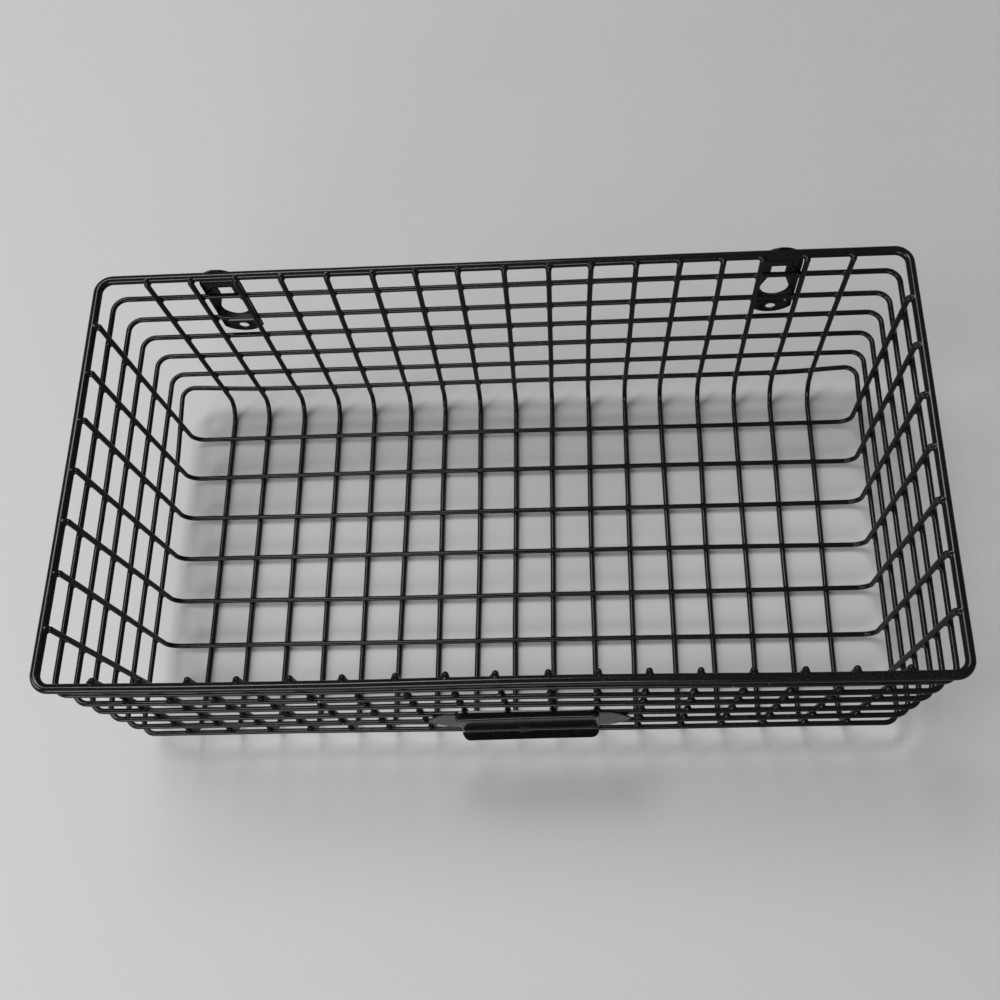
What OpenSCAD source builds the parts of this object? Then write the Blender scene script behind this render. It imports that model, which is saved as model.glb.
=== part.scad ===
// Wire locker basket: welded steel wire with two keyhole hangers at the back and a pressed pull in front.
// Millimetres, +Z up, +X to the right, -Y towards the front. The origin is under the middle of the floor.

/* [Basket] */
// Length over the outside of the rim, left to right
basket_length = 474; // [456:1:500]
// Depth over the outside of the rim, front to back
basket_depth = 248; // [230:1:280]
// Height from the underside of the floor to the top of the rim
basket_height = 166; // [164:1:200]

/* [Rim and hoops] */
// Diameter of the rim wire
rim_d = 5.2; // [4:0.1:6]
// Diameter of the hoop wires
hoop_d = 3.2; // [2.4:0.1:3.6]
// How far each hoop's centre lies below the rim's centre, from the top down
hoop_drops = [19.4, 43.2, 65.2, 90.3, 115.6, 141]; // [6:0.1:141]
// Corner radius of the rim and the hoops, to the wire's centre
corner_r = 8; // [6:0.5:14]

/* [Uprights and floor] */
// Diameter of the crosswise wires
cross_d = 3.2; // [2.4:0.1:3.6]
// Number of crosswise wires
cross_count = 17; // [15:2:17]
// Distance between crosswise wires
cross_pitch = 25.4; // [22:0.1:26]
// Diameter of the lengthwise wires
long_d = 3.2; // [2.4:0.1:3.6]
// Number of lengthwise wires
long_count = 7; // [5:2:7]
// Distance between lengthwise wires
long_pitch = 30; // [26:0.1:32]
// Radius of the bends between floor and walls, to the wire's centre
bend_r = 8.5; // [7:0.5:14]
// How far one welded wire sinks into the next
weld_bite = 0.25; // [0.1:0.05:0.3]

/* [Hangers] */
// Thickness of the hanger sheet
hanger_t = 1.2; // [0.8:0.1:1.6]
// Width of a hanger plate
hanger_w = 25; // [24:0.5:28]
// How far the plate's lowest edge hangs below the top of the rim
hanger_drop = 65.5; // [64:0.5:67]
// How far the plate's rounded top stands above the rim, or below it where negative
plate_rise = -0.6; // [-1.5:0.1:1]
// Radius of the plate's rounded bottom edge
hanger_low_r = 16; // [13:0.5:20]
// Width of the flat margin on each side of the dished pad round the keyhole
pad_margin = 1.1; // [0.9:0.1:1.4]
// How far the pad's wall leans in for each millimetre of its depth
pad_lean = 0.75; // [0.5:0.05:0.8]
// How far the pad's straight lower edge lies below the top of the rim
pad_low_drop = 54.4; // [53.8:0.1:54.8]
// Radius of the pad's two lower corners
pad_corner_r = 4; // [3:0.5:6]
// Width of the keyhole's slot
slot_w = 8.4; // [7:0.1:9]
// How far the slot's top edge lies below the top of the rim
slot_top_drop = 18.6; // [18:0.1:20]
// How far below the top of the rim the slot starts to flare into the round part
flare_drop = 27.8; // [27:0.1:29.5]
// Radius of the keyhole's round part
keyhole_r = 8.4; // [7:0.1:8.6]
// How far the middle of the keyhole's round part lies below the top of the rim
keyhole_drop = 40.6; // [39:0.1:41]
// Diameter of the fixing screw's hole
screw_d = 6; // [4:0.1:6.4]
// How far the fixing screw's hole lies below the top of the rim
screw_drop = 59.2; // [58.8:0.1:60.2]

/* [Pull] */
// Thickness of the pull's sheet
pull_t = 0.9; // [0.8:0.1:1.2]
// Width of the pull's raised body
pull_w = 80.5; // [70:0.5:90]
// How far each of the two pointed ears reaches beyond the body
ear_reach = 17.75; // [16:0.25:24]
// Height of the ears where they meet the body
ear_h = 40; // [32:1:44]
// Length of the ears' pointed ends
ear_point = 10; // [6:0.5:14]
// Height of the blunt tip of each ear
ear_tip_h = 4; // [2:0.5:10]
// Height of the middle of the pull
pull_z = 69; // [66:0.5:74]
// How far the body is raised from the ears
pull_raise = 3.2; // [2.8:0.1:6]
// Outer radius of the fold along the body's top edge
fold_r = 1.5; // [1.3:0.1:3]
// How far the flat finger lip stands out in front of the body's face
lip_reach = 5.95; // [5:0.05:7]
// Inner radius of the bend between the face and the lip
lip_bend_r = 1.5; // [1:0.1:3]
// Radius of the finger lip's two corners, seen from above
lip_corner_r = 4.5; // [1:0.5:6]

/* [Hidden] */
$fn = 48;
plate_bite = 0.05;
overshoot = 1;
chamfer = 0.6;
upright_rise = 1.2;
hanger_inset = 1.5;
pad_top_drop = 25.4;
jog_low_drop = 10.8;
jog_high_drop = 7.4;
ledge_rise = 0.5;
lip_rise = 0.55;
rim_x = basket_length/2 - rim_d/2;
rim_y = basket_depth/2 - rim_d/2;
rim_z = basket_height - rim_d/2;
cross_y = rim_y - rim_d/2 - cross_d/2 + weld_bite;
cross_z = cross_d/2;
long_x = rim_x - rim_d/2 - long_d/2 + weld_bite;
long_z = cross_z + cross_d/2 + long_d/2 - weld_bite;
hoop_x = long_x + long_d/2 + hoop_d/2 - weld_bite;
hoop_y = cross_y + cross_d/2 + hoop_d/2 - weld_bite;
hoop_count = len(hoop_drops);
upright_top = rim_z + upright_rise;
hanger_x = ((cross_count - 1)/2 - hanger_inset)*cross_pitch;
flange_y = hoop_y + hoop_d/2 - plate_bite;
back_y = rim_y + rim_d/2 - plate_bite;
pad_step = back_y - flange_y;
pull_x = cross_pitch/2;
pull_y = -hoop_y - hoop_d/2 + plate_bite;
pull_front = pull_y - pull_t - pull_raise;
lip_front = pull_front - lip_reach;
hanger_back = back_y + hanger_t;
plate_top_z = basket_height + plate_rise;
hanger_low_z = basket_height - hanger_drop;
slot_top_z = basket_height - slot_top_drop;
flare_z = basket_height - flare_drop;
keyhole_z = basket_height - keyhole_drop;
screw_z = basket_height - screw_drop;
pad_w = hanger_w - 2*pad_margin;
pad_top_z = basket_height - pad_top_drop;
pad_low_z = basket_height - pad_low_drop;
pad_wall = hanger_t*sqrt(1 + pad_lean*pad_lean);
jog_low_z = basket_height - jog_low_drop;
jog_high_z = basket_height - jog_high_drop;
jog_slip = hanger_t*tan(atan2(pad_step, jog_high_z - jog_low_z)/2);
flare_angle = atan2(flare_z - keyhole_z, slot_w/2) - acos(keyhole_r/norm([slot_w/2, flare_z - keyhole_z]));
ear_span = pull_w + 2*ear_reach;
body_top = pull_z + ear_h/2 + ledge_rise;
lip_low_z = pull_z - ear_h/2 + lip_rise;
face_low_z = lip_low_z + pull_t + lip_bend_r;
middle_shift = -(lip_front + hanger_back)/2;
black = [0.05, 0.05, 0.055];
soft_black = [0.09, 0.09, 0.095];

function cross_name(i) = str("cross_wire_", i < 10 ? "0" : "", i);
function hoop_height(i) = rim_z - hoop_drops[i - 1];

// Stands the whole basket so that its outer box is centred on the origin
module placed() {
    translate([0, middle_shift, 0]) children();
}

// A straight wire along one axis, from its own origin
module straight(d, length, turn) {
    rotate(turn) cylinder(h = length, d = d);
}

// A wire bent a quarter turn in the flat, round the origin, from +X to +Y
module quarter_bend(d, r) {
    rotate_extrude(angle = 90) translate([r, 0]) circle(d = d);
}

// A closed rounded rectangle of wire; half_x and half_y reach the wire's centre
module wire_ring(d, half_x, half_y, r) {
    for (side = [-1, 1]) {
        translate([-half_x + r, side*half_y, 0]) straight(d, 2*(half_x - r), [0, 90, 0]);
        translate([side*half_x, half_y - r, 0]) straight(d, 2*(half_y - r), [90, 0, 0]);
    }
    for (quarter = [0:3]) {
        flip_x = quarter == 1 || quarter == 2 ? -1 : 1;
        flip_y = quarter > 1 ? -1 : 1;
        translate([flip_x*(half_x - r), flip_y*(half_y - r), 0]) rotate([0, 0, 90*quarter])
            quarter_bend(d, r);
    }
}

// A wire bent like a wide U in the XZ plane, with chamfered ends; floor_z is the height of its floor run
module u_wire(d, half_span, floor_z, r, top_z) {
    translate([-half_span + r, 0, floor_z]) straight(d, 2*(half_span - r), [0, 90, 0]);
    for (side = [0, 1]) mirror([side, 0, 0]) {
        translate([half_span - r, 0, floor_z + r]) rotate([90, 90, 0]) quarter_bend(d, r);
        translate([half_span, 0, floor_z + r]) cylinder(h = top_z - chamfer - floor_z - r, d = d);
        translate([half_span, 0, top_z - chamfer]) cylinder(h = chamfer, d1 = d, d2 = d - 2*chamfer);
    }
}

module rim() {
    color(black) placed() translate([0, 0, rim_z]) wire_ring(rim_d, rim_x, rim_y, corner_r);
}

module hoop(i) {
    color(black) placed() translate([0, 0, hoop_height(i)]) wire_ring(hoop_d, hoop_x, hoop_y, corner_r);
}

module cross_wire(i) {
    x = (i - (cross_count + 1)/2)*cross_pitch;
    color(black) placed() translate([x, 0, 0]) rotate([0, 0, 90])
        u_wire(cross_d, cross_y, cross_z, bend_r, upright_top);
}

module long_wire(i) {
    y = ((long_count + 1)/2 - i)*long_pitch;
    color(black) placed() translate([0, y, 0]) u_wire(long_d, long_x, long_z, bend_r, upright_top);
}

// The outline of a hanger plate in the XZ plane: a full round on top and a flatter one at the bottom
module plate_outline() {
    low_z = hanger_low_z + hanger_low_r;
    high_z = plate_top_z - hanger_w/2;
    translate([0, high_z]) circle(d = hanger_w);
    intersection() {
        translate([-hanger_w/2, hanger_low_z]) square([hanger_w, high_z - hanger_low_z]);
        union() {
            translate([0, low_z]) circle(r = hanger_low_r);
            translate([-hanger_w/2, low_z]) square([hanger_w, high_z - low_z]);
        }
    }
}

// The keyhole in the XZ plane: a slot above, flaring into a round part below
module keyhole_outline() {
    touch = [keyhole_r*cos(flare_angle), keyhole_z + keyhole_r*sin(flare_angle)];
    translate([-slot_w/2, flare_z]) square([slot_w, slot_top_z - flare_z]);
    polygon([[-slot_w/2, flare_z], [slot_w/2, flare_z], [touch.x, touch.y], [-touch.x, touch.y]]);
    polygon([[-touch.x, touch.y], [touch.x, touch.y], [0, keyhole_z - keyhole_r/2]]);
    translate([0, keyhole_z]) circle(r = keyhole_r);
}

// Pushes an outline drawn in the XZ plane from one y to the next
module along_y(from_y, to_y) {
    translate([0, to_y, 0]) rotate([90, 0, 0]) linear_extrude(to_y - from_y) children();
}

// The bent sheet of a hanger, seen from its side: flange, a step out, and the top behind the rim
module hanger_sheet() {
    translate([-hanger_w/2, 0, 0]) rotate([90, 0, 90]) linear_extrude(hanger_w) polygon([
        [flange_y, hanger_low_z],
        [flange_y, jog_low_z],
        [back_y, jog_high_z],
        [back_y, plate_top_z],
        [hanger_back, plate_top_z],
        [hanger_back, jog_high_z - jog_slip],
        [flange_y + hanger_t, jog_low_z - jog_slip],
        [flange_y + hanger_t, hanger_low_z]
    ]);
}

// A dish with leaning walls, round on top and square with rounded corners below. wide is how far it
// spreads at from_y, beyond the pad's mouth, and narrow how far it spreads at to_y
module dish(wide, narrow, from_y, to_y) {
    depth = to_y - from_y;
    mouth_r = pad_w/2;
    corner_x = mouth_r - pad_corner_r;
    corner_z = pad_low_z + pad_corner_r;
    translate([0, from_y, pad_top_z]) rotate([-90, 0, 0])
        cylinder(h = depth, r1 = mouth_r + wide, r2 = mouth_r + narrow);
    for (side = [-1, 1]) translate([side*corner_x, from_y, corner_z]) rotate([-90, 0, 0])
        cylinder(h = depth, r1 = pad_corner_r + wide, r2 = pad_corner_r + narrow);
    translate([0, from_y, corner_z]) linear_extrude(pad_top_z - corner_z) polygon([
        [-mouth_r - wide, 0], [mouth_r + wide, 0], [mouth_r + narrow, depth], [-mouth_r - narrow, depth]
    ]);
    translate([-corner_x, from_y, 0]) rotate([90, 0, 90]) linear_extrude(2*corner_x) polygon([
        [0, corner_z], [0, pad_low_z - wide], [depth, pad_low_z - narrow], [depth, corner_z]
    ]);
}

module hanger(side) {
    start_y = flange_y + hanger_t/2;
    shell_wide = pad_wall - pad_lean*hanger_t/2;
    shell_narrow = pad_wall - pad_lean*(pad_step + hanger_t);
    color(soft_black) placed() translate([side*hanger_x, 0, 0]) difference() {
        union() {
            intersection() {
                hanger_sheet();
                along_y(flange_y - overshoot, hanger_back + overshoot) plate_outline();
            }
            dish(shell_wide, shell_narrow, start_y, hanger_back);
        }
        dish(pad_lean*overshoot, -pad_lean*pad_step, flange_y - overshoot, back_y);
        along_y(flange_y - overshoot, hanger_back + overshoot) keyhole_outline();
        translate([0, flange_y - overshoot, screw_z]) rotate([-90, 0, 0])
            cylinder(h = 2*overshoot + hanger_t, d = screw_d);
    }
}

// A quarter of a flat ring, in the quarter that sign_u and sign_v point to
module quarter_ring(outer_r, inner_r, sign_u, sign_v) {
    intersection() {
        difference() {
            circle(r = outer_r);
            circle(r = inner_r);
        }
        translate([sign_u < 0 ? -outer_r : 0, sign_v < 0 ? -outer_r : 0]) square(outer_r);
    }
}

// The pull's sheet seen from its end: ledge, fold, upright face, a small bend and the flat lip
module pull_section() {
    bend_y = pull_front - lip_bend_r;
    translate([pull_front + fold_r, body_top - pull_t]) square([pull_y - pull_front - fold_r, pull_t]);
    translate([pull_front + fold_r, body_top - fold_r]) quarter_ring(fold_r, fold_r - pull_t, -1, 1);
    translate([pull_front, face_low_z]) square([pull_t, body_top - fold_r - face_low_z]);
    translate([bend_y, face_low_z]) quarter_ring(lip_bend_r + pull_t, lip_bend_r, 1, -1);
    translate([lip_front, lip_low_z]) square([bend_y - lip_front, pull_t]);
}

// The pull's outline seen from above, with the lip's corners rounded
module pull_plan() {
    translate([-pull_w/2, lip_front + lip_corner_r]) square([pull_w, pull_y - lip_front - lip_corner_r]);
    translate([-pull_w/2 + lip_corner_r, lip_front]) square([pull_w - 2*lip_corner_r, 2*lip_corner_r]);
    for (side = [-1, 1]) {
        translate([side*(pull_w/2 - lip_corner_r), lip_front + lip_corner_r]) circle(r = lip_corner_r);
    }
}

// One end of the pull: its end wall and its pointed ear
module pull_end() {
    inner_x = pull_w/2 - pull_t;
    wall_front = pull_front + fold_r/2;
    translate([inner_x, wall_front, face_low_z])
        cube([pull_t, pull_y - wall_front, body_top - pull_t/2 - face_low_z]);
    along_y(pull_y - pull_t, pull_y) polygon([
        [inner_x, pull_z - ear_h/2],
        [ear_span/2 - ear_point, pull_z - ear_h/2],
        [ear_span/2, pull_z - ear_tip_h/2],
        [ear_span/2, pull_z + ear_tip_h/2],
        [ear_span/2 - ear_point, pull_z + ear_h/2],
        [inner_x, pull_z + ear_h/2]
    ]);
}

module front_pull() {
    color(soft_black) placed() translate([pull_x, 0, 0]) {
        intersection() {
            translate([-pull_w/2, 0, 0]) rotate([90, 0, 90]) linear_extrude(pull_w) pull_section();
            linear_extrude(basket_height) pull_plan();
        }
        for (side = [0, 1]) mirror([side, 0, 0]) pull_end();
    }
}

rim();
for (i = [1:hoop_count]) hoop(i);
for (i = [1:cross_count]) cross_wire(i);
for (i = [1:long_count]) long_wire(i);
hanger(-1);  // hanger_left
hanger(1);  // hanger_right
front_pull();
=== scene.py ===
# %% [markdown]
# Wire locker basket. It is welded from mild steel wire: one heavy rim, thin hoops round the walls, and two
# sets of U-shaped wires that run down one wall, over the floor and up the other. Two pressed hangers sit on
# the back wall and a pressed pull on the front. The whole thing was then dipped in black enamel.
# The solid model comes in first and stays where it is. Everything else here gives it its looks.

import math
import random

import bmesh
import bpy
import numpy as np
from mathutils import Euler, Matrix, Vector
from mathutils.geometry import delaunay_2d_cdt


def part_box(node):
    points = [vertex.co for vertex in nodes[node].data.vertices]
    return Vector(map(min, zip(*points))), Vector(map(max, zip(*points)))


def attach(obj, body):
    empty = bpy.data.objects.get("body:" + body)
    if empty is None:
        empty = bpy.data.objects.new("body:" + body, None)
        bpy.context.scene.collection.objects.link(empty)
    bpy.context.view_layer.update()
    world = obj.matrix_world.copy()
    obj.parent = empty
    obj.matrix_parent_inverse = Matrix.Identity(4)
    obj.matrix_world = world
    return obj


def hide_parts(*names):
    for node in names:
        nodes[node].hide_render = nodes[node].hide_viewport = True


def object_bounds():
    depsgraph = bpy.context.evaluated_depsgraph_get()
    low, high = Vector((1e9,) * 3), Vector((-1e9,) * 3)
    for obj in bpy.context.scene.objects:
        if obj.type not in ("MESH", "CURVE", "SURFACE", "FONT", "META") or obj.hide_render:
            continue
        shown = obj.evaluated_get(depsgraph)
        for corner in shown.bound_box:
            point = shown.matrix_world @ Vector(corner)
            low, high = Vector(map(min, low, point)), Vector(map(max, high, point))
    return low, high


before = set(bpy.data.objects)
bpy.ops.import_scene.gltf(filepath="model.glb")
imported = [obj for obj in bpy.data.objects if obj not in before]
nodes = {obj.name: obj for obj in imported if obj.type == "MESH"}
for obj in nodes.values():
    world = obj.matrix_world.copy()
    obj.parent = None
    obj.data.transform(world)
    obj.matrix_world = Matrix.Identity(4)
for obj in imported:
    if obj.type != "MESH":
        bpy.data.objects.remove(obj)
cad_low, cad_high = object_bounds()
MM = 0.001
print("solid model:", len(nodes), "nodes, size", [round(v, 4) for v in cad_high - cad_low])

# %% [markdown]
# The camera stands where the photographer stood: in front of the basket and high over it, looking steeply
# down. A long lens would flatten the walls, so the focal length matters as much as the place. The small
# lens shift stands for a photograph that was cropped a little to one side.

# %% Camera
CAMERA_PLACE = (0.0540, -0.2324, 0.7015)
CAMERA_TURN = (21.83, 4.00, -1.66)
FOCAL_LENGTH = 39.56
SENSOR = 36.0
LENS_SHIFT = (-0.030, -0.010)


def make_camera():
    camera = bpy.data.objects.new("camera", bpy.data.cameras.new("camera"))
    bpy.context.scene.collection.objects.link(camera)
    camera.data.sensor_width = SENSOR
    camera.data.lens = FOCAL_LENGTH
    camera.data.shift_x, camera.data.shift_y = LENS_SHIFT
    tilt, sway, roll = (math.radians(angle) for angle in CAMERA_TURN)
    turn = Euler((0, 0, roll)).to_matrix() @ Euler((tilt, 0, 0)).to_matrix() @ Euler((0, sway, 0)).to_matrix()
    camera.matrix_world = turn.to_4x4()
    camera.location = CAMERA_PLACE
    bpy.context.scene.camera = camera
    return camera


camera = make_camera()
print("camera", [round(v, 3) for v in camera.location], "lens", camera.data.lens)

# %% [markdown]
# Black gloss shows almost nothing of its own colour: what the eye reads is the reflection of pale things
# around it. In the photograph the wires are black with one or two thin grey lines, and only on the left
# half. So the room here is dim, and two large soft lamps stand where those lines say: one high over the
# left, one low in front of it. A third lamp, far to the left, only brightens the floor: no wire that the
# camera sees can mirror it. The floor itself is pale to the camera and darker to the wires, because in the
# photograph the wires' edges stay black against it.

# %% Floor and background
FLOOR_COLOUR = (0.64, 0.63, 0.615, 1)
FLOOR_IN_REFLECTIONS = (0.34, 0.335, 0.33, 1)
FLOOR_HALF = 6.0


def make_floor():
    mesh = bpy.data.meshes.new("floor")
    corners = [(x * FLOOR_HALF, y * FLOOR_HALF, cad_low.z) for x, y in ((-1, -1), (1, -1), (1, 1), (-1, 1))]
    mesh.from_pydata(corners, [], [(0, 1, 2, 3)])
    floor = bpy.data.objects.new("floor", mesh)
    bpy.context.scene.collection.objects.link(floor)
    material = bpy.data.materials.new("pale_floor")
    material.use_nodes = True
    shader = material.node_tree.nodes["Principled BSDF"]
    shader.inputs["Roughness"].default_value = 0.9
    ray = material.node_tree.nodes.new("ShaderNodeLightPath")
    tone = material.node_tree.nodes.new("ShaderNodeMix")
    tone.data_type = "RGBA"
    tone.inputs["A"].default_value, tone.inputs["B"].default_value = FLOOR_IN_REFLECTIONS, FLOOR_COLOUR
    material.node_tree.links.new(ray.outputs["Is Camera Ray"], tone.inputs["Factor"])
    material.node_tree.links.new(tone.outputs["Result"], shader.inputs["Base Color"])
    mesh.materials.append(material)
    return floor


floor = make_floor()
print("floor at height", round(cad_low.z, 4))

# %% Lamps
LAMPS = [
    # name, place, width, depth, brightness of its surface
    ("high_left", (-0.82, 0.97, 2.65), 1.65, 0.65, 11.0),
    ("front_window", (-0.65, -2.20, 0.95), 1.7, 0.8, 7.0),
    ("far_left", (-1.90, -0.50, 1.30), 1.0, 1.0, 5.5),
]
AIM = Vector((0, 0, 0.08))
WORLD_COLOUR = (0.94, 0.96, 1.0, 1)
WORLD_STRENGTH = 0.14


def make_lamps():
    for name, place, width, depth, brightness in LAMPS:
        light = bpy.data.lights.new(name, "AREA")
        light.shape = "RECTANGLE"
        light.size, light.size_y = width, depth
        light.energy = brightness * math.pi * width * depth
        lamp = bpy.data.objects.new(name, light)
        bpy.context.scene.collection.objects.link(lamp)
        lamp.location = place
        lamp.rotation_euler = (AIM - Vector(place)).to_track_quat("-Z", "Y").to_euler()


def make_world():
    world = bpy.data.worlds.new("studio")
    bpy.context.scene.world = world
    world.use_nodes = True
    background = world.node_tree.nodes["Background"]
    background.inputs["Color"].default_value = WORLD_COLOUR
    background.inputs["Strength"].default_value = WORLD_STRENGTH


make_lamps()
make_world()
bpy.context.scene.view_settings.view_transform = "Standard"
print("lamps:", [lamp[0] for lamp in LAMPS])

# %% [markdown]
# Dipped enamel is not flat. It creeps a little as it dries, which leaves a fine waviness that breaks up
# every reflection. That waviness, and how the gloss varies with it, is the same on the wires and on the
# plates, so it is one node group that each enamel places with its own scale and depth.

# %% Helpers for node groups


def new_group(name, inputs, outputs):
    group = bpy.data.node_groups.new(name, "ShaderNodeTree")
    for socket, kind, value in inputs:
        made = group.interface.new_socket(socket, in_out="INPUT", socket_type=kind)
        made.default_value = value
    for socket, kind in outputs:
        group.interface.new_socket(socket, in_out="OUTPUT", socket_type=kind)
    start = group.nodes.new("NodeGroupInput")
    end = group.nodes.new("NodeGroupOutput")
    return group, start, end


def add(tree, kind, **settings):
    node = tree.nodes.new(kind)
    for key, value in settings.items():
        setattr(node, key, value)
    return node


def link(tree, source, target):
    tree.links.new(source, target)


def math_node(tree, operation, first, second=None, clamp=False):
    node = add(tree, "ShaderNodeMath", operation=operation, use_clamp=clamp)
    for socket, value in zip(node.inputs, (first, second)):
        if value is None:
            continue
        if isinstance(value, (int, float)):
            socket.default_value = value
        else:
            link(tree, value, socket)
    return node.outputs[0]


def smooth_step(tree, value, low, high):
    node = add(tree, "ShaderNodeMapRange", interpolation_type="SMOOTHSTEP")
    link(tree, value, node.inputs["Value"])
    node.inputs["From Min"].default_value = low
    node.inputs["From Max"].default_value = high
    return node.outputs["Result"]


def object_noise(tree, scale, detail=2.0, roughness=0.5):
    place = add(tree, "ShaderNodeTexCoord")
    node = add(tree, "ShaderNodeTexNoise")
    link(tree, place.outputs["Object"], node.inputs["Vector"])
    if isinstance(scale, (int, float)):
        node.inputs["Scale"].default_value = scale
    else:
        link(tree, scale, node.inputs["Scale"])
    node.inputs["Detail"].default_value = detail
    node.inputs["Roughness"].default_value = roughness
    return node.outputs["Fac"]


print("group helpers ready")

# %% Enamel skin group


def make_enamel_skin():
    group, start, end = new_group(
        "enamel_skin",
        [
            ("Creep Scale", "NodeSocketFloat", 450.0),
            ("Creep Depth", "NodeSocketFloat", 0.2),
            ("Gloss Low", "NodeSocketFloat", 0.24),
            ("Gloss High", "NodeSocketFloat", 0.40),
        ],
        [("Height", "NodeSocketFloat"), ("Roughness", "NodeSocketFloat")],
    )
    creep = object_noise(group, start.outputs["Creep Scale"])
    runs = object_noise(group, 60.0, 3.0)
    height = math_node(group, "ADD", math_node(group, "MULTIPLY", creep, start.outputs["Creep Depth"]), runs)
    link(group, height, end.inputs["Height"])
    haze = smooth_step(group, object_noise(group, 28.0, 4.0, 0.6), 0.35, 0.7)
    span = math_node(group, "SUBTRACT", start.outputs["Gloss High"], start.outputs["Gloss Low"])
    gloss = math_node(group, "ADD", math_node(group, "MULTIPLY", haze, span), start.outputs["Gloss Low"])
    link(group, gloss, end.inputs["Roughness"])
    return group


enamel_skin = make_enamel_skin()
print("enamel skin outputs:", [s.name for s in enamel_skin.interface.items_tree if s.in_out == "OUTPUT"])

# %% [markdown]
# Use leaves two marks. The enamel chips where the basket is knocked, down to grey primer and bare steel,
# and a little dust settles on whatever faces up. Both are masks, so each enamel can have more or less.

# %% Chips and dust groups


def make_chips():
    group, start, end = new_group(
        "chips",
        [("Scale", "NodeSocketFloat", 260.0), ("Amount", "NodeSocketFloat", 0.06)],
        [("Mask", "NodeSocketFloat")],
    )
    grains = object_noise(group, start.outputs["Scale"], 3.0, 0.65)
    patches = smooth_step(group, object_noise(group, 14.0, 1.0), 0.60, 0.72)
    level = math_node(group, "SUBTRACT", 0.74, start.outputs["Amount"])
    over = math_node(group, "SUBTRACT", grains, level)
    chip = math_node(group, "MULTIPLY", over, 40.0, clamp=True)
    link(group, math_node(group, "MULTIPLY", chip, patches), end.inputs["Mask"])
    return group


def make_dust():
    group, start, end = new_group(
        "settled_dust",
        [("Amount", "NodeSocketFloat", 0.1)],
        [("Mask", "NodeSocketFloat")],
    )
    geometry = add(group, "ShaderNodeNewGeometry")
    parts = add(group, "ShaderNodeSeparateXYZ")
    link(group, geometry.outputs["Normal"], parts.inputs[0])
    facing_up = smooth_step(group, parts.outputs["Z"], 0.3, 1.0)
    specks = smooth_step(group, object_noise(group, 900.0, 2.0, 0.7), 0.45, 0.75)
    drift = smooth_step(group, object_noise(group, 35.0, 2.0), 0.3, 0.7)
    mask = math_node(group, "MULTIPLY", math_node(group, "MULTIPLY", facing_up, specks), drift)
    link(group, math_node(group, "MULTIPLY", mask, start.outputs["Amount"]), end.inputs["Mask"])
    return group


chips = make_chips()
settled_dust = make_dust()
print("wear groups:", chips.name, settled_dust.name)

# %% [markdown]
# The enamel itself: a near-black base with a thin clear skin over it. Three recipes share the groups above.
# The rim is handled most, so it has more chips. The plates are flat, so they took the enamel smoothest.

# %% Enamel materials
ENAMEL_BLACK = (0.005, 0.005, 0.005, 1)
ENAMEL_SHINE = 0.28
STEEL_COLOUR = (0.32, 0.31, 0.30, 1)
DUST_COLOUR = (0.30, 0.29, 0.27, 1)


def mix_colour(tree, mask, first, second):
    node = add(tree, "ShaderNodeMix", data_type="RGBA")
    link(tree, mask, node.inputs["Factor"])
    for socket, value in ((node.inputs["A"], first), (node.inputs["B"], second)):
        if isinstance(value, tuple):
            socket.default_value = value
        else:
            link(tree, value, socket)
    return node.outputs["Result"]


def group_node(tree, group, **values):
    node = add(tree, "ShaderNodeGroup", node_tree=group)
    for key, value in values.items():
        node.inputs[key.replace("_", " ")].default_value = value
    return node


def make_enamel(name, colour, gloss, creep, chip_amount, dust_amount):
    material = bpy.data.materials.new(name)
    material.use_nodes = True
    tree = material.node_tree
    shader = tree.nodes["Principled BSDF"]
    skin = group_node(tree, enamel_skin, Creep_Scale=creep, Gloss_Low=gloss[0], Gloss_High=gloss[1])
    chip = group_node(tree, chips, Amount=chip_amount)
    dust = group_node(tree, settled_dust, Amount=dust_amount)
    chipped = mix_colour(tree, chip.outputs["Mask"], colour, STEEL_COLOUR)
    dusty = mix_colour(tree, dust.outputs["Mask"], chipped, DUST_COLOUR)
    link(tree, dusty, shader.inputs["Base Color"])
    link(tree, chip.outputs["Mask"], shader.inputs["Metallic"])
    shader.inputs["Specular IOR Level"].default_value = ENAMEL_SHINE
    duller = math_node(tree, "MULTIPLY", dust.outputs["Mask"], 0.5)
    rough = math_node(tree, "ADD", skin.outputs["Roughness"], duller, clamp=True)
    link(tree, rough, shader.inputs["Roughness"])
    sunk = math_node(tree, "SUBTRACT", skin.outputs["Height"], chip.outputs["Mask"])
    bump = add(tree, "ShaderNodeBump")
    bump.inputs["Strength"].default_value = 0.35
    bump.inputs["Distance"].default_value = 0.08 * MM
    link(tree, sunk, bump.inputs["Height"])
    link(tree, bump.outputs["Normal"], shader.inputs["Normal"])
    return material


ENAMELS = {
    "rim_enamel": make_enamel("rim_enamel", ENAMEL_BLACK, (0.15, 0.23), 260.0, 0.05, 0.08),
    "wire_enamel": make_enamel("wire_enamel", ENAMEL_BLACK, (0.18, 0.28), 340.0, 0.02, 0.08),
    "plate_enamel": make_enamel("plate_enamel", ENAMEL_BLACK, (0.10, 0.18), 180.0, 0.03, 0.08),
}
print("enamels:", list(ENAMELS))

# %% [markdown]
# Every wire's size and place is read from the solid model, so nothing here can drift away from it. Only
# four sizes can't be read from a box: the bend radii and how deep one welded wire sinks into another. The
# crosswise wires bend more softly at the floor than the lengthwise ones, as in the photograph.

# %% Sizes of the wires
CROSS_BEND, LONG_BEND = 14.0, 8.5
CORNER_RADIUS = 8.0
WELD_BITE = 0.25
SIDES = (-1, 1)


def box_mm(node):
    low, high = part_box(node)
    return low / MM, high / MM


def node_names(start):
    return sorted(name for name in nodes if name.startswith(start))


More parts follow.
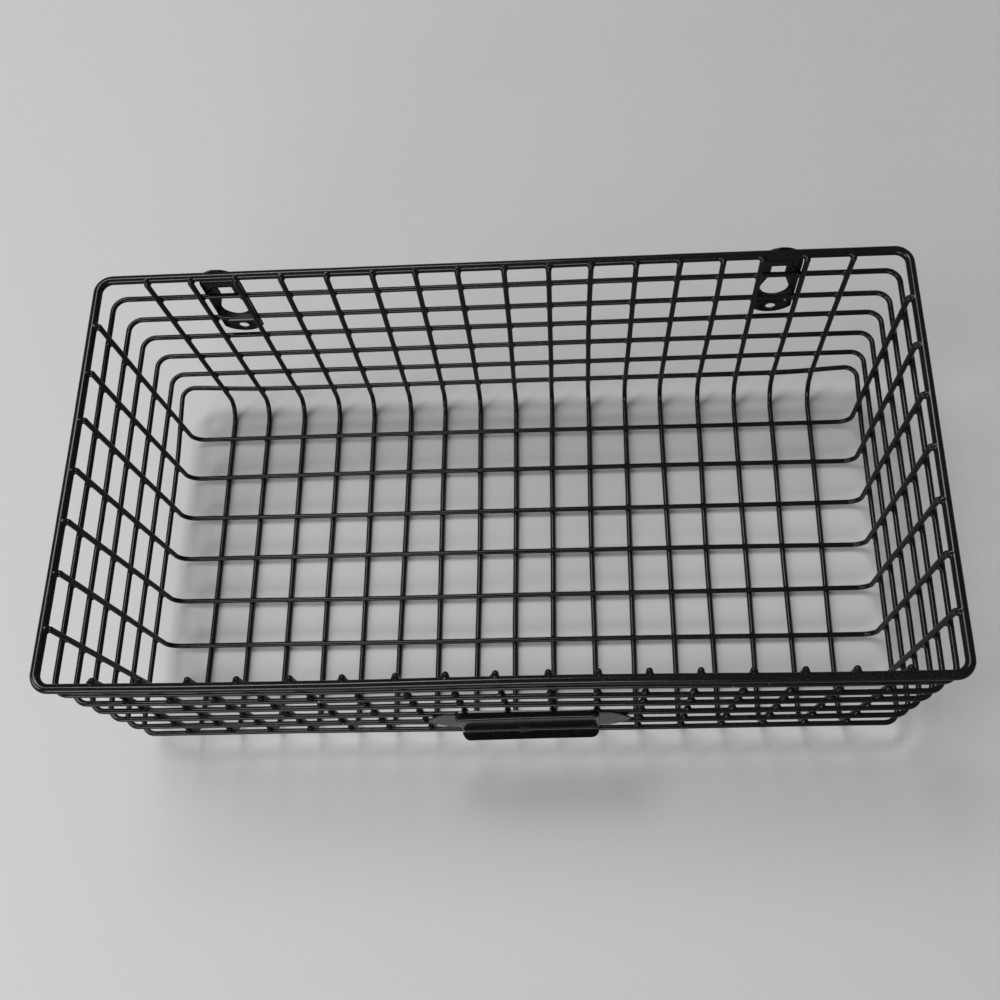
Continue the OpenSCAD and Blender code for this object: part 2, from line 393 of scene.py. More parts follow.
def ring_size(node):
    """Radius, half length and half depth to the wire's centre, and height of a rim or hoop."""
    low, high = box_mm(node)
    radius = (high.z - low.z) / 2
    return radius, (high.x - low.x) / 2 - radius, (high.y - low.y) / 2 - radius, (high.z + low.z) / 2


rim_r, rim_half_x, rim_half_y, rim_z = ring_size("rim")
hoop_names = node_names("hoop_")
hoop_r, hoop_half_x, hoop_half_y = ring_size(hoop_names[0])[:3]
hoop_heights = [ring_size(name)[3] for name in hoop_names]
rim_low, rim_high = box_mm("rim")
middle_y = (rim_low.y + rim_high.y) / 2

cross_names = node_names("cross_wire_")
cross_low, cross_high = box_mm(cross_names[0])
cross_r = (cross_high.x - cross_low.x) / 2
cross_half = (cross_high.y - cross_low.y) / 2 - cross_r
cross_x = [sum(corner.x for corner in box_mm(name)) / 2 for name in cross_names]

long_names = node_names("long_wire_")
long_low, long_high = box_mm(long_names[0])
long_r = (long_high.y - long_low.y) / 2
long_half = (long_high.x - long_low.x) / 2 - long_r
long_floor = long_low.z + long_r
long_y = [sum(corner.y for corner in box_mm(name)) / 2 - middle_y for name in long_names]
upright_top = cross_high.z
print("rim wire", round(2 * rim_r, 2), "hoops at", [round(z, 1) for z in hoop_heights])
print(len(cross_x), "crosswise and", len(long_y), "lengthwise wires, top at", round(upright_top, 1))

# %% [markdown]
# A bent wire is a line that goes straight, turns a quarter, and goes straight again. Following it as a
# walker would, leg after leg, gives a point, a direction and an inward side at any distance along it. One
# walk draws the closed rim, another draws a wide U, so every wire here is the same kind of thing.
# Bending jigs aren't perfect: each wire also wanders sideways a little, differently every time.

# %% Wires as walks
chance = random.Random(17)
QUARTER = math.pi / 2
X_AXIS, Y_AXIS, Z_AXIS = np.eye(3)


def ease(value, low, high):
    """0 below low, 1 above high, and a smooth rise between."""
    step = np.clip((value - low) / (high - low), 0, 1)
    return step * step * (3 - 2 * step)


def make_wander(reach, length, closed):
    """A smooth sideways drift in millimetres along a wire. On a closed wire it meets itself again."""
    terms = []
    for wave in (1, 2, 3, 5):
        turns = wave if closed else wave * chance.uniform(0.4, 0.8)
        size = reach * chance.uniform(-1, 1) / wave**0.7
        terms.append((size, 2 * math.pi * turns / length, chance.uniform(0, 2 * math.pi)))
    return lambda s: sum(size * np.sin(rate * s + phase) for size, rate, phase in terms)


class Wire:
    """One bent wire. u and v span the plane that it is bent in; side points across that plane."""

    def __init__(self, name, node, radius, origin, u, v, closed):
        self.name, self.node, self.radius, self.closed = name, node, radius, closed
        self.origin, self.u, self.v, self.side = np.array(origin), u, v, np.cross(u, v)
        self.legs, self.length, self.welds = [], 0.0, []

    def walk(self, start, heading, steps, bend):
        """Each step is a straight length, with a left-hand quarter bend after all but the last."""
        u, v = start
        for number, step in enumerate(steps):
            self.legs.append((self.length, step, u, v, heading, 0.0))
            u, v = u + step * math.cos(heading), v + step * math.sin(heading)
            self.length += step
            if number == len(steps) - 1:
                break
            self.legs.append((self.length, QUARTER * bend, u, v, heading, bend))
            u += bend * (math.sin(heading + QUARTER) - math.sin(heading))
            v -= bend * (math.cos(heading + QUARTER) - math.cos(heading))
            heading += QUARTER
            self.length += QUARTER * bend

    def at(self, s):
        """Centre points and inward directions at an array of distances."""
        s = np.asarray(s, float)
        flat = np.zeros((len(s), 3))
        for start, length, u, v, heading, bend in self.legs:
            here = (s >= start - 1e-6) & (s <= start + length + 1e-6)
            gone = s[here] - start
            if bend:
                turn = heading + gone / bend
                flat[here, 0] = u + bend * (np.sin(turn) - math.sin(heading))
                flat[here, 1] = v - bend * (np.cos(turn) - math.cos(heading))
                flat[here, 2] = turn
            else:
                flat[here, 0] = u + gone * math.cos(heading)
                flat[here, 1] = v + gone * math.sin(heading)
                flat[here, 2] = heading
        drift = self.wander(s)
        centres = self.origin + np.outer(flat[:, 0], self.u) + np.outer(flat[:, 1], self.v)
        centres += np.outer(drift, self.side)
        inward = np.outer(-np.sin(flat[:, 2]), self.u) + np.outer(np.cos(flat[:, 2]), self.v)
        return centres, inward


def make_ring(name, node, reach, bend=CORNER_RADIUS):
    radius, half_x, half_y, height = ring_size(node)
    wire = Wire(name, node, radius, (0, middle_y, height), X_AXIS, Y_AXIS, True)
    wire.half_x, wire.half_y, wire.bend, wire.height = half_x, half_y, bend, height
    run_x, run_y = half_x - bend, half_y - bend
    wire.walk((0, -half_y), 0.0, [run_x, 2 * run_y, 2 * run_x, 2 * run_y, run_x], bend)
    wire.wander = make_wander(reach, wire.length, True)
    return wire


def make_upright(name, node, radius, origin, u, half, floor_z, bend, reach, lean):
    """lean is how far its first and its second top stand off to the side of its floor run."""
    wire = Wire(name, node, radius, origin, u, Z_AXIS, False)
    wire.half = half
    drop = upright_top - floor_z - bend
    wire.walk((-half, upright_top), -QUARTER, [drop, 2 * (half - bend), drop], bend)
    drift = make_wander(reach, wire.length, False)

    def wander(s):
        first = np.clip(1 - s / drop, 0, 1)
        second = np.clip(1 - (wire.length - s) / drop, 0, 1)
        return drift(s) + lean[0] * first + lean[1] * second

    wire.wander = wander
    return wire


def cross_lean(x):
    """The tops lean right in the middle of both walls and a little left near the left end."""
    front = 4.0 * ease(x, -140, -50) - 1.6
    back = 6.5 * ease(x, -190, -80) - 4.0 * ease(x, 115, 160) - 2.0
    return front, back


def no_lean(y):
    return 0, 0


def make_set(name, names, places, radius, u, half, floor_z, bend, reach, lean):
    """One set of parallel wires. places are their distances from the middle, across the set."""
    across = X_AXIS if u is Y_AXIS else Y_AXIS
    made_set = []
    for n, (node, place) in enumerate(zip(names, places), 1):
        origin = np.array((0, middle_y, 0)) + across * place
        shape = (u, half, floor_z, bend, reach, lean(place))
        made_set.append(make_upright(name.format(n), node, radius, origin, *shape))
    return made_set


RIM_WANDER = 0.2
HOOP_WANDER = 0.5
CROSS_WANDER = 0.8
LONG_WANDER = 0.7
rim = make_ring("rim_heavy_wire", "rim", RIM_WANDER)
hoops = [make_ring(f"wall_hoop_{n}", node, HOOP_WANDER) for n, node in enumerate(hoop_names, 1)]
crossers = make_set(
    "crosswise_wire_{:02d}", cross_names, cross_x, cross_r,
    Y_AXIS, cross_half, cross_r, CROSS_BEND, CROSS_WANDER, cross_lean,
)
lengthers = make_set(
    "lengthwise_wire_{}", long_names, long_y, long_r,
    X_AXIS, long_half, long_floor, LONG_BEND, LONG_WANDER, no_lean,
)
print("one crosswise wire is", round(crossers[0].length), "mm long, the rim", round(rim.length), "mm")

# %% [markdown]
# The photograph shows the lowest hoop bent up at both of its far corners, as if the basket had once been
# dropped on its back edge.

# %% A bent lowest hoop
BENT_CORNERS = ((1, 3.8, 28.0), (3, 4.8, 36.0))


def bend_corners_up(ring):
    """Each bent corner has the number of half long sides before it, its height and its spread."""
    plain = ring.wander
    run_x, run_y, turn = ring.half_x - ring.bend, ring.half_y - ring.bend, QUARTER * ring.bend

    def wander(s):
        lift = 0
        for halves, height, spread in BENT_CORNERS:
            corner = halves * run_x + 2 * run_y + (halves / 2 + 1) * turn
            lift = lift + height * np.exp(-(((np.asarray(s, float) - corner) / spread) ** 2))
        return plain(s) + lift

    ring.wander = wander


bend_corners_up(hoops[-1])
print("lowest hoop lifted by", [height for _, height, _ in BENT_CORNERS], "mm at its far corners")

# %% [markdown]
# The wires are spot welded wherever they cross. To shape a weld, each wire has to know where the others
# touch it, on which side, and how thick they are. Four loops find all of them: floor crossings, hoops on
# crosswise wires, hoops on lengthwise wires, and the rim.

# %% Where the wires are welded
ENDLESS = 1e3


def ring_distance(ring, wall, across):
    """Distance along a ring to a point of one wall, where across is its x or y from the middle."""
    run_x, run_y, turn = ring.half_x - ring.bend, ring.half_y - ring.bend, QUARTER * ring.bend
    if wall == "front":
        return across if across >= 0 else ring.length + across
    if wall == "right":
        return run_x + turn + across + run_y
    if wall == "back":
        return 2 * run_x + 2 * run_y + 2 * turn - across
    return 3 * run_x + 2 * run_y + 3 * turn + run_y - across


def add_weld(wire, distance, side, other, melt, reach=ENDLESS):
    """side is 1 where the other wire lies inside the bend and -1 where it lies outside."""
    wire.welds.append((distance, side, other.radius, melt, reach))


def weld_walls(uprights, walls, place):
    """Welds each upright to the rim and the hoops on two opposite walls."""
    for upright, across in zip(uprights, place):
        for wall, sign in zip(walls, SIDES):
            for ring in [rim] + hoops:
                down = upright_top - ring.height
                here = down if sign < 0 else upright.length - down
                drift = float(upright.wander(here)) * upright.side[0 if abs(upright.side[0]) > 0.5 else 1]
                far = ring_distance(ring, wall, across + drift)
                rise = float(ring.wander(far))
                here += sign * rise
                is_rim = ring is rim
                melt = chance.uniform(1.0, 1.5) if is_rim else chance.uniform(0.8, 1.9)
                add_weld(upright, here, -1, ring, melt)
                add_weld(ring, far, 1, upright, melt, upright_top - ring.height if is_rim else ENDLESS)


def weld_floor():
    straight = upright_top - cross_r + (QUARTER - 2) * CROSS_BEND
    straight_long = upright_top - long_floor + (QUARTER - 2) * LONG_BEND
    for crosser, x in zip(crossers, cross_x):
        for lengther, y in zip(lengthers, long_y):
            near = straight + cross_half + y
            far = straight_long + long_half + x
            near -= float(lengther.wander(far))
            far += float(crosser.wander(near))
            melt = chance.uniform(0.8, 1.9)
            add_weld(crosser, near, 1, lengther, melt)
            add_weld(lengther, far, -1, crosser, melt)


weld_walls(crossers, ("front", "back"), cross_x)
weld_walls(lengthers, ("left", "right"), long_y)
weld_floor()
all_wires = [rim] + hoops + crossers + lengthers
print("welds:", sum(len(wire.welds) for wire in all_wires) // 2)

# %% [markdown]
# A wire becomes a mesh by placing a ring of points at each of many stations along it. The stations are wide
# apart on plain stretches and close together at bends and welds, where the shape changes.

# %% Stations along a wire
PLAIN_STEP = 5.0
BEND_STEP = 1.3
WELD_STEP = 0.7
WELD_REACH = 3.6
END_DOME = 1.5
LEAST_STEP = 0.3


def make_stations(wire):
    marks = []
    for start, length, _, _, _, bend in wire.legs:
        count = math.ceil(length / (BEND_STEP if bend else PLAIN_STEP))
        marks += list(start + length * np.arange(count) / count)
    marks = np.array(marks + [wire.length])
    welds = np.array([weld[0] for weld in wire.welds])
    if wire.closed:
        welds = np.concatenate([welds - wire.length, welds, welds + wire.length])
    marks = marks[np.abs(marks[:, None] - welds).min(1) > WELD_REACH]
    near = np.arange(-WELD_REACH, WELD_REACH + 0.01, WELD_STEP)
    marks = np.concatenate([marks, (welds[:, None] + near).ravel()])
    if wire.closed:
        marks = marks[(marks >= 0) & (marks < wire.length - LEAST_STEP)]
    else:
        inner = marks[(marks > END_DOME + LEAST_STEP) & (marks < wire.length - END_DOME - LEAST_STEP)]
        dome = END_DOME * (1 - np.sin(np.radians([82, 66, 50, 34, 18, 0])))
        marks = np.concatenate([dome, inner, wire.length - dome])
    marks = np.sort(marks)
    return marks[np.concatenate([[True], np.diff(marks) > 0.02])]


print("stations on the rim:", len(make_stations(rim)))

# %% [markdown]
# Where two wires melted together there is no sharp crease: the metal flowed into a small fillet, and the
# enamel filled it further. A smooth minimum of the distances to the two wires draws exactly that shape.
# Each ring point moves outwards until that blended distance is zero. Both wires do the same, so their
# surfaces meet along the weld.

# %% Weld fillets
FILLET_MOST = 1.5
SKIN_UNEVEN = 0.012
END_SWELL = 0.2


def blended(first, second, melt):
    overlap = np.maximum(melt - np.abs(first - second), 0) / melt
    return np.minimum(first, second) - overlap**2 * melt / 4


def draw_out(wire, s, angles, radii, weld):
    """Moves the ring points near one weld out to the blended surface of the two wires."""
    place, side, other, melt, reach = weld
    along = s - place
    if wire.closed:
        along = (along + wire.length / 2) % wire.length - wire.length / 2
    near = np.abs(along) < WELD_REACH
    toward = side * np.cos(angles)
    rise = np.sin(angles)
    apart = wire.radius + other - WELD_BITE
    low = radii[near]
    inner, high = low.copy(), low + FILLET_MOST
    for _ in range(12):
        middle = (low + high) / 2
        past_end = np.maximum(middle * rise - reach, 0)
        other_line = np.sqrt(along[near][:, None] ** 2 + (middle * toward - apart) ** 2 + past_end**2)
        inside = blended(middle - inner, other_line - other, melt) < 0
        low = np.where(inside, middle, low)
        high = np.where(inside, high, middle)
    radii[near] = high


def ring_radii(wire, s, angles):
    phases = [chance.uniform(0, 2 * math.pi) for _ in range(3)]
    uneven = sum(np.sin(2 * math.pi * s / length + phase) for length, phase in zip((23, 37, 61), phases)) / 3
    radii = np.repeat((wire.radius * (1 + SKIN_UNEVEN * uneven))[:, None], len(angles), 1)
    if not wire.closed:
        to_end = np.minimum(s, wire.length - s)
        radii *= (1 + END_SWELL * np.exp(-to_end / 2.5))[:, None]
    for weld in wire.welds:
        draw_out(wire, s, angles, radii, weld)
    if not wire.closed:
        into = np.clip(1 - to_end / END_DOME, 0, 1)
        radii *= np.sqrt(1 - into**2)[:, None]
    return radii


print("fillets drawn up to", FILLET_MOST, "mm out of a wire")

# %% [markdown]
# A basket that has been used is never quite square. One smooth field of small shifts, the same for every
# piece, bows the walls in, dips the rim and lifts the floor a little. The photograph also shows the foot of
# the back wall pushed in at its right end. Pieces that are welded together move together, so no weld opens.
# All shifts go inwards, so the basket stays within its solid model's size.

# %% Settling of the whole basket
WALL_BOW = 0.8
RIM_DIP = 0.5
FLOOR_LIFT = 0.5
FOOT_IN = 4.0


def make_ripple(longest):
    waves = []
    for number in range(5):
        turn = np.array([chance.gauss(0, 1) for _ in range(3)])
        rate = 2 * math.pi / (longest * (1 - 0.13 * number))
        waves.append((turn / np.linalg.norm(turn) * rate, chance.uniform(0, 6)))
    return lambda p: np.clip(0.5 + 0.5 * sum(np.sin(p @ wave + phase) for wave, phase in waves) / 2.5, 0, 1)


ripples = [make_ripple(longest) for longest in (330, 260, 300, 240)]


def settle(points):
    """Shifts points, in millimetres, the way the used basket has settled."""
    x, y, z = points[:, 0], points[:, 1] - middle_y, points[:, 2]
    bow_x, bow_y, dip, lift = (ripple(points) for ripple in ripples)
    edge_x = ease(np.abs(x), rim_half_x * 0.5, rim_half_x)
    edge_y = ease(np.abs(y), rim_half_y * 0.5, rim_half_y)
    moved = points.copy()
    moved[:, 0] -= np.sign(x) * edge_x * WALL_BOW * bow_x
    moved[:, 1] -= np.sign(y) * edge_y * WALL_BOW * bow_y
    moved[:, 1] -= FOOT_IN * ease(y, 96, 116) * ease(x, -60, 220) * np.clip(1 - z / 24, 0, 1)
    moved[:, 2] -= RIM_DIP * (0.3 + dip) * (z / rim_z) ** 2
    moved[:, 2] += FLOOR_LIFT * lift * (1 - edge_x) * (1 - edge_y) * np.clip(1 - z / 40, 0, 1)
    return moved


print("a rim corner moves to", settle(np.array([[rim_half_x, rim_half_y, rim_z]])).round(2)[0])

# %% From points to pieces


def new_piece(name, points, faces, node, slot_name):
    """Makes a mesh from millimetre points, lets it settle, and puts it in the place of its solid."""
    mesh = bpy.data.meshes.new(name)
    mesh.from_pydata((settle(np.asarray(points, float)) * MM).tolist(), [], faces)
    mesh.polygons.foreach_set("use_smooth", [True] * len(mesh.polygons))
    mesh.materials.append(ENAMELS[slot_name])
    mesh.update()
    piece = bpy.data.objects.new(name, mesh)
    bpy.context.scene.collection.objects.link(piece)
    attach(piece, "root")
    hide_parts(node)
    return piece


def wire_piece(wire, sides, slot_name):
    s = make_stations(wire)
    angles = 2 * math.pi * np.arange(sides) / sides
    centres, inward = wire.at(s)
    radii = ring_radii(wire, s, angles)
    reach = radii[:, :, None] * (
        np.cos(angles)[None, :, None] * inward[:, None, :] + np.sin(angles)[None, :, None] * wire.side
    )
    points = (centres[:, None, :] + reach).reshape(-1, 3)
    count = len(s)
    faces = []
    for ring in range(count if wire.closed else count - 1):
        here, there = ring * sides, (ring + 1) % count * sides
        for k in range(sides):
            after = (k + 1) % sides
            faces.append((here + k, here + after, there + after, there + k))
    if not wire.closed:
        ends = wire.at([0.0, wire.length])[0]
        points = np.vstack([points, ends])
        last = (count - 1) * sides
        for k in range(sides):
            after = (k + 1) % sides
            faces.append((count * sides, after, k))
            faces.append((count * sides + 1, last + k, last + after))
    return new_piece(wire.name, points, faces, wire.node, slot_name)


# %% Draw every wire
RIM_SIDES = 20
WIRE_SIDES = 14
made = [wire_piece(rim, RIM_SIDES, "rim_enamel")]
made += [wire_piece(wire, WIRE_SIDES, "wire_enamel") for wire in hoops + crossers + lengthers]
print("wires:", len(made), "with", sum(len(piece.data.polygons) for piece in made), "faces")

# %% [markdown]
# The two hangers are pressed from sheet. Their outline, keyhole and screw hole are drawn first as closed
# loops of points. Then the flat plate between them is divided into small triangles, so that a press can
# push it out of flat: a dish round the keyhole, and a step near the top that clears the rim.

# %% Loops for the hanger
HANGER_TOP = 165.4
HANGER_LOW = 100.5
HANGER_HALF = 12.5
LOW_ROUND = 16.0
KEYHOLE_R = 8.4
KEYHOLE_Z = 125.4
SLOT_HALF = 4.2
SLOT_TOP = 147.4
FLARE_Z = 138.2
SCREW_Z = 106.8
SCREW_R = 3.0
LOOP_STEP = 0.8


def arc(x, z, radius, start, stop):
    """Points on an arc in the plate's own plane, angles in degrees."""
    count = max(2, round(abs(math.radians(stop - start)) * radius / LOOP_STEP))
    turns = np.radians(np.linspace(start, stop, count + 1))
    return [(x + radius * math.cos(t), z + radius * math.sin(t)) for t in turns]


def subdivide(corners):
    """Adds points along the straight sides of a closed loop."""
    points = []
    for first, second in zip(corners, corners[1:] + corners[:1]):
        pieces = max(1, round(math.dist(first, second) / LOOP_STEP))
        step_x, step_z = (second[0] - first[0]) / pieces, (second[1] - first[1]) / pieces
        points += [(first[0] + n * step_x, first[1] + n * step_z) for n in range(pieces)]
    return points


def hanger_loops():
    low_middle = HANGER_LOW + LOW_ROUND
    half_turn = math.degrees(math.acos(HANGER_HALF / LOW_ROUND))
    outline = arc(0, HANGER_TOP - HANGER_HALF, HANGER_HALF, 0, 180)
    outline += arc(0, low_middle, LOW_ROUND, 180 + half_turn, 360 - half_turn)
    flare = math.atan2(FLARE_Z - KEYHOLE_Z, SLOT_HALF)
    flare -= math.acos(KEYHOLE_R / math.hypot(SLOT_HALF, FLARE_Z - KEYHOLE_Z))
    flare = math.degrees(flare)
    keyhole = arc(0, KEYHOLE_Z, KEYHOLE_R, 180 - flare, 360 + flare)
    keyhole += [(SLOT_HALF, FLARE_Z), (SLOT_HALF, SLOT_TOP), (-SLOT_HALF, SLOT_TOP), (-SLOT_HALF, FLARE_Z)]
    screw = arc(0, SCREW_Z, SCREW_R, 0, 345)
    return [subdivide(outline), subdivide(keyhole)[::-1], subdivide(screw)[::-1]]


loops = hanger_loops()
print("loop points:", [len(loop) for loop in loops])

# %% Press the hanger out of flat
FLANGE_Y = 121.95
PRESS_DEPTH = 2.0
SHEET = 1.2
DISH_RAMP = 1.9
EDGE_ROUND = 0.3
MESH_STEP = 0.9


def inside_loop(points, loop):
    """True for each point that lies inside a closed loop."""
    x, z = points[:, 0], points[:, 1]
    hit = np.zeros(len(points), bool)
    for (x1, z1), (x2, z2) in zip(loop, loop[1:] + loop[:1]):
        if z1 == z2:
            continue
        crossing = (z1 > z) != (z2 > z)
        hit ^= crossing & (x < (x2 - x1) * (z - z1) / (z2 - z1) + x1)
    return hit


def loop_gap(points, loop):
    """Distance from each point to the nearest point of a loop."""
    return np.min(np.linalg.norm(points[:, None] - np.array(loop)[None], axis=2), axis=1)


def inset(loop, amount):
    """Moves a counterclockwise loop inwards, or a clockwise one outwards."""
    points = np.array(loop)
    along = np.roll(points, -1, 0) - np.roll(points, 1, 0)
    along /= np.linalg.norm(along, axis=1)[:, None]
    return points + amount * np.stack([-along[:, 1], along[:, 0]], 1)


def press(points):
    """How far the press pushes each point of the plate out, in millimetres."""
    x, z = np.abs(points[:, 0]), points[:, 1]
    round_top = 11.4 - np.hypot(x, z - 140.6)
    over_x, over_z = x - 7.4, 115.6 - z
    past = np.hypot(np.maximum(over_x, 0), np.maximum(over_z, 0))
    corner = 4 - past - np.minimum(np.maximum(over_x, over_z), 0)
    dish = ease(np.where(z > 140.6, round_top, corner), -0.2, DISH_RAMP)
    step = ease(z, 155.0, 158.8)
    return PRESS_DEPTH * np.maximum(dish, step)


def hanger_mesh():
    """Points and faces of one hanger, in millimetres, with x from its own middle."""
    edges = [inset(loop, EDGE_ROUND) for loop in loops]
    grid_x, grid_z = np.meshgrid(
        np.arange(-HANGER_HALF, HANGER_HALF, MESH_STEP), np.arange(HANGER_LOW, HANGER_TOP, MESH_STEP)
    )
    inner = np.stack([grid_x.ravel(), grid_z.ravel()], 1)
    inner = inner[inside_loop(inner, [tuple(p) for p in edges[0]])]
    for edge in edges[1:]:
        inner = inner[~inside_loop(inner, [tuple(p) for p in edge])]
    for edge in edges:
        inner = inner[loop_gap(inner, edge) > 0.5 * MESH_STEP]
    flat = np.vstack(edges + [inner])
    segments, start = [], 0
    for edge in edges:
        count = len(edge)
        segments += [(start + k, start + (k + 1) % count) for k in range(count)]
        start += count
    found = delaunay_2d_cdt([Vector(p) for p in flat.tolist()], segments, [], 0, 1e-6)
    flat, triangles = np.array([tuple(p) for p in found[0]]), np.array(found[2])
    middles = flat[triangles].mean(1)
    keep = inside_loop(middles, [tuple(p) for p in edges[0]])
    for edge in edges[1:]:
        keep &= ~inside_loop(middles, [tuple(p) for p in edge])
    triangles = triangles[keep]
    out = press(flat)
    near = np.column_stack([flat[:, 0], FLANGE_Y + out, flat[:, 1]])
    far = near + (0, SHEET, 0)
    points = [near, far]
    faces = [tuple(t) for t in triangles.tolist()]
    faces += [tuple(len(flat) + k for k in reversed(t)) for t in triangles.tolist()]
    start, total = 0, 2 * len(flat)
    for loop, edge in zip(loops, edges):
        count = len(edge)
        side = np.array(loop)
        low = FLANGE_Y + press(side)
        points.append(np.column_stack([side[:, 0], low + EDGE_ROUND, side[:, 1]]))
        points.append(np.column_stack([side[:, 0], low + SHEET - EDGE_ROUND, side[:, 1]]))
        rows = [start, total, total + count, len(flat) + start]
        for row, below in zip(rows, rows[1:]):
            for k in range(count):
                after = (k + 1) % count
                faces.append((row + k, below + k, below + after, row + after))
        start += count
        total += 2 * count
    return np.vstack(points), faces


def hanger_piece(name, node):
    low, high = box_mm(node)
    points, faces = hanger_mesh()
    points = points + ((low.x + high.x) / 2, middle_y, 0)
    return new_piece(name, points, faces, node, "plate_enamel")


print("a hanger's dish is pressed out by", press(np.array([[6.0, 135.0]])).round(2)[0], "mm")


# %% Draw the hangers
made.append(hanger_piece("keyhole_hanger_left", "hanger_left"))
made.append(hanger_piece("keyhole_hanger_right", "hanger_right"))
print("one hanger has", len(made[-1].data.polygons), "faces")

# %% [markdown]
# The pull is folded from thinner sheet: a narrow ledge along the top, an upright face, two end walls, and a
# flat lip along the bottom for the fingers. Its visible skin is drawn as patches of a grid that share their
# edges. Solidify then gives the skin its thickness, and a bevel takes the sharpness off the cut edges.

# %% Skin of the pull
PULL_HALF = 40.25
WALL_Y = -121.95
RAISE = 5.6
LEDGE_Z = 89.5
FOLD_R = 1.7
CORNER_R = 2.0
FACE_LOW_Z = 51.35
LIP_BEND = 0.9
LIP_OUT = 10.05
LIP_CORNER = 4.5
PULL_SHEET = 0.9
PULL_STEP = 3.0
EAR_Z = 69.0


def fold_rows(steps=5):
    """How far in from the body's edge and how far out from the wall each row over the fold lies."""
    rows = [(0.0, 0.0), (0.0, (RAISE - FOLD_R) / 2)]
    for turn in np.linspace(0, QUARTER, steps + 1):
        rows.append((FOLD_R * (1 - math.cos(turn)), RAISE - FOLD_R + FOLD_R * math.sin(turn)))
    return rows + [(CORNER_R, RAISE)]


levels = np.linspace(FACE_LOW_Z, LEDGE_Z - CORNER_R, round((LEDGE_Z - FACE_LOW_Z) / PULL_STEP))
widths = np.linspace(-PULL_HALF + CORNER_R, PULL_HALF - CORNER_R, round(2 * PULL_HALF / PULL_STEP))


def edge_row(inward, out):
    """One row round the body: up its left end, over the top and down its right end."""
    row = [(-PULL_HALF + inward, out, z) for z in levels]
    for side, angles in ((-1, (165, 150, 135, 120, 105)), (1, (75, 60, 45, 30, 15))):
        turns = np.radians(angles)
        reach = CORNER_R - inward
        middle = side * (PULL_HALF - CORNER_R)
        low_z = LEDGE_Z - CORNER_R
        arc_row = [(middle + reach * math.cos(t), out, low_z + reach * math.sin(t)) for t in turns]
        row += arc_row if side > 0 else arc_row + [(x, out, LEDGE_Z - inward) for x in widths]
    return row + [(PULL_HALF - inward, out, z) for z in levels[::-1]]


def lip_rows(steps=6):
    """Rows from the foot of the face round the small bend and out along the flat lip."""
    foot = PULL_HALF - FOLD_R
    shares = np.concatenate([[-1], widths / foot, [1]])
    rows = []
    for turn in np.linspace(0, QUARTER, steps + 1):
        half = foot + FOLD_R * turn / QUARTER
        out = RAISE + LIP_BEND * (1 - math.cos(turn))
        rows.append([(half * share, out, FACE_LOW_Z - LIP_BEND * math.sin(turn)) for share in shares])
    for turn in np.linspace(0, QUARTER, 9)[1:]:
        half = PULL_HALF - LIP_CORNER * (1 - math.cos(turn))
        out = LIP_OUT - LIP_CORNER * (1 - math.sin(turn))
        rows.append([(half * share, out, FACE_LOW_Z - LIP_BEND) for share in shares])
    return rows


def face_rows():
    return [[(x, RAISE, z) for x in widths] for z in levels[::-1]]


def ear_rows(side):
    """The flat pointed ear at one end, from inside the end wall to its blunt tip."""
    rows = []
    for x in (39.6, 42.0, 44.5, 46.5, 48.5, 50.5, 52.5, 54.5, 56.5, 57.6, 58.0):
        half = 20 - 18 * max(0, (x - 46) / 12) ** 1.4 - max(0, x - 57.4)
        rows.append([(side * x, PULL_SHEET, EAR_Z + half * share) for share in np.linspace(side, -side, 9)])
    return rows


def add_patch(points, faces, rows):
    """Adds a grid of points and the quads between them."""
    start, width = len(points), len(rows[0])
    for row in rows:
        points.extend(row)
    for r in range(len(rows) - 1):
        for k in range(width - 1):
            a, b = start + r * width + k, start + (r + 1) * width + k
            faces.append((a, b, b + 1, a + 1))


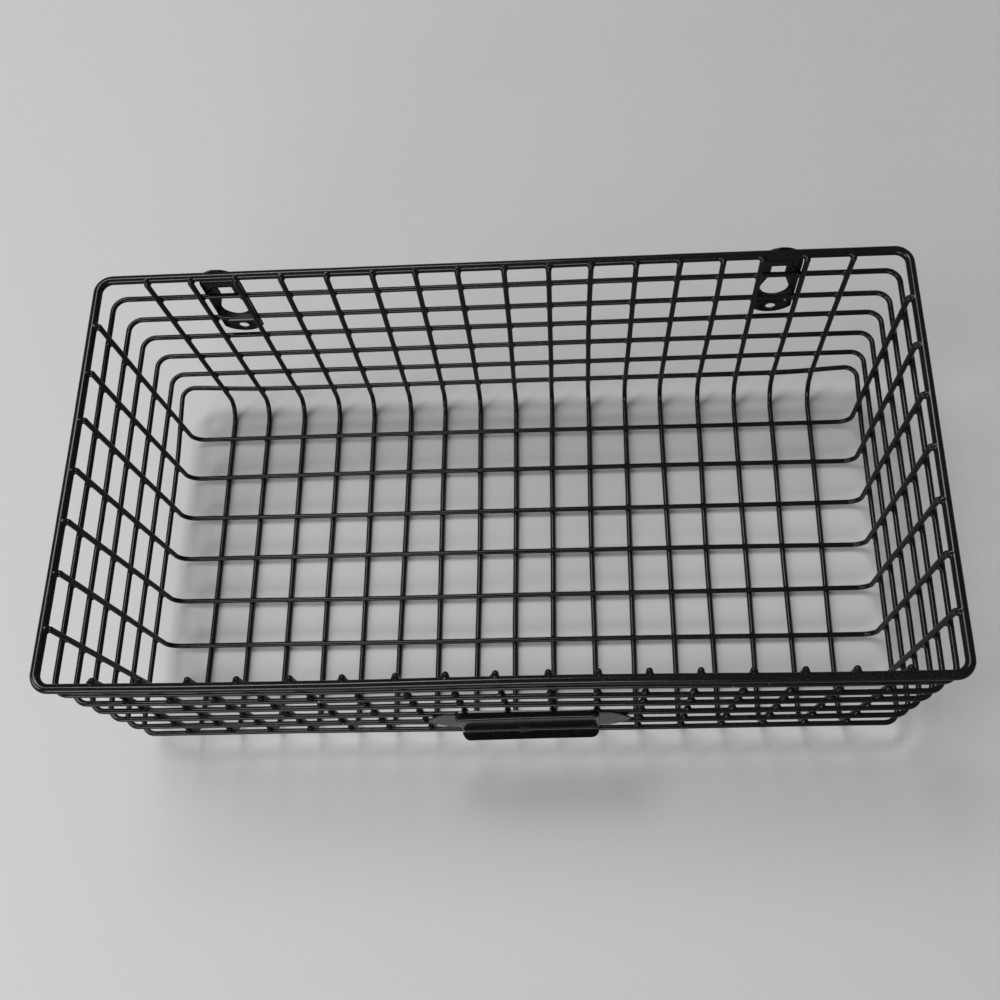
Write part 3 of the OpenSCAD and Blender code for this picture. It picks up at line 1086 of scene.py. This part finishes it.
points, faces = [], []
add_patch(points, faces, [edge_row(*row) for row in fold_rows()])
for rows in (face_rows(), lip_rows(), ear_rows(-1), ear_rows(1)):
    add_patch(points, faces, rows)
print("the pull's skin has", len(points), "points")

# %% From skin to sheet
PULL_LEAN = 0.0175
FACE_DENT = 0.2
FACE_SKEW = 1.3
FOOT_TUCK = 0.8
CUT_EDGE = 0.2


def thicken(points, faces, sheet):
    """Gives a skin its thickness behind it and softens its cut edges. Returns points and faces."""
    mesh = bpy.data.meshes.new("skin")
    mesh.from_pydata(points, [], faces)
    shape = bmesh.new()
    shape.from_mesh(mesh)
    bmesh.ops.remove_doubles(shape, verts=shape.verts, dist=0.01)
    shape.to_mesh(mesh)
    shape.free()
    skin = bpy.data.objects.new("skin", mesh)
    bpy.context.scene.collection.objects.link(skin)
    solid = skin.modifiers.new("sheet", "SOLIDIFY")
    solid.thickness, solid.offset = sheet, -1
    bevel = skin.modifiers.new("edges", "BEVEL")
    bevel.width, bevel.segments = CUT_EDGE, 2
    bevel.limit_method, bevel.angle_limit = "ANGLE", math.radians(50)
    done = skin.evaluated_get(bpy.context.evaluated_depsgraph_get()).to_mesh()
    thick = [tuple(v.co) for v in done.vertices]
    covered = [tuple(p.vertices) for p in done.polygons]
    bpy.data.objects.remove(skin)
    bpy.data.meshes.remove(mesh)
    return np.array(thick), covered


def pull_piece():
    low, high = box_mm("front_pull")
    x, out, z = np.array(points).T
    body = np.clip(out / RAISE, 0, 1)
    foot = np.clip((LEDGE_Z - z) / (LEDGE_Z - FACE_LOW_Z), 0, 1)
    foot *= np.clip((LIP_OUT - out) / (LIP_OUT - RAISE), 0, 1)
    along = x / PULL_HALF
    out = out - body * (FACE_DENT * (1 - along**2) + FOOT_TUCK * foot + FACE_SKEW * (1 + along) / 2)
    skin = np.column_stack([x, WALL_Y - out, z + PULL_LEAN * x])
    thick, covered = thicken(skin.tolist(), faces, PULL_SHEET)
    thick = thick + ((low.x + high.x) / 2, middle_y, 0)
    return new_piece("folded_front_pull", thick, covered, "front_pull", "plate_enamel")


made.append(pull_piece())
print("the pull has", len(made[-1].data.polygons), "faces")
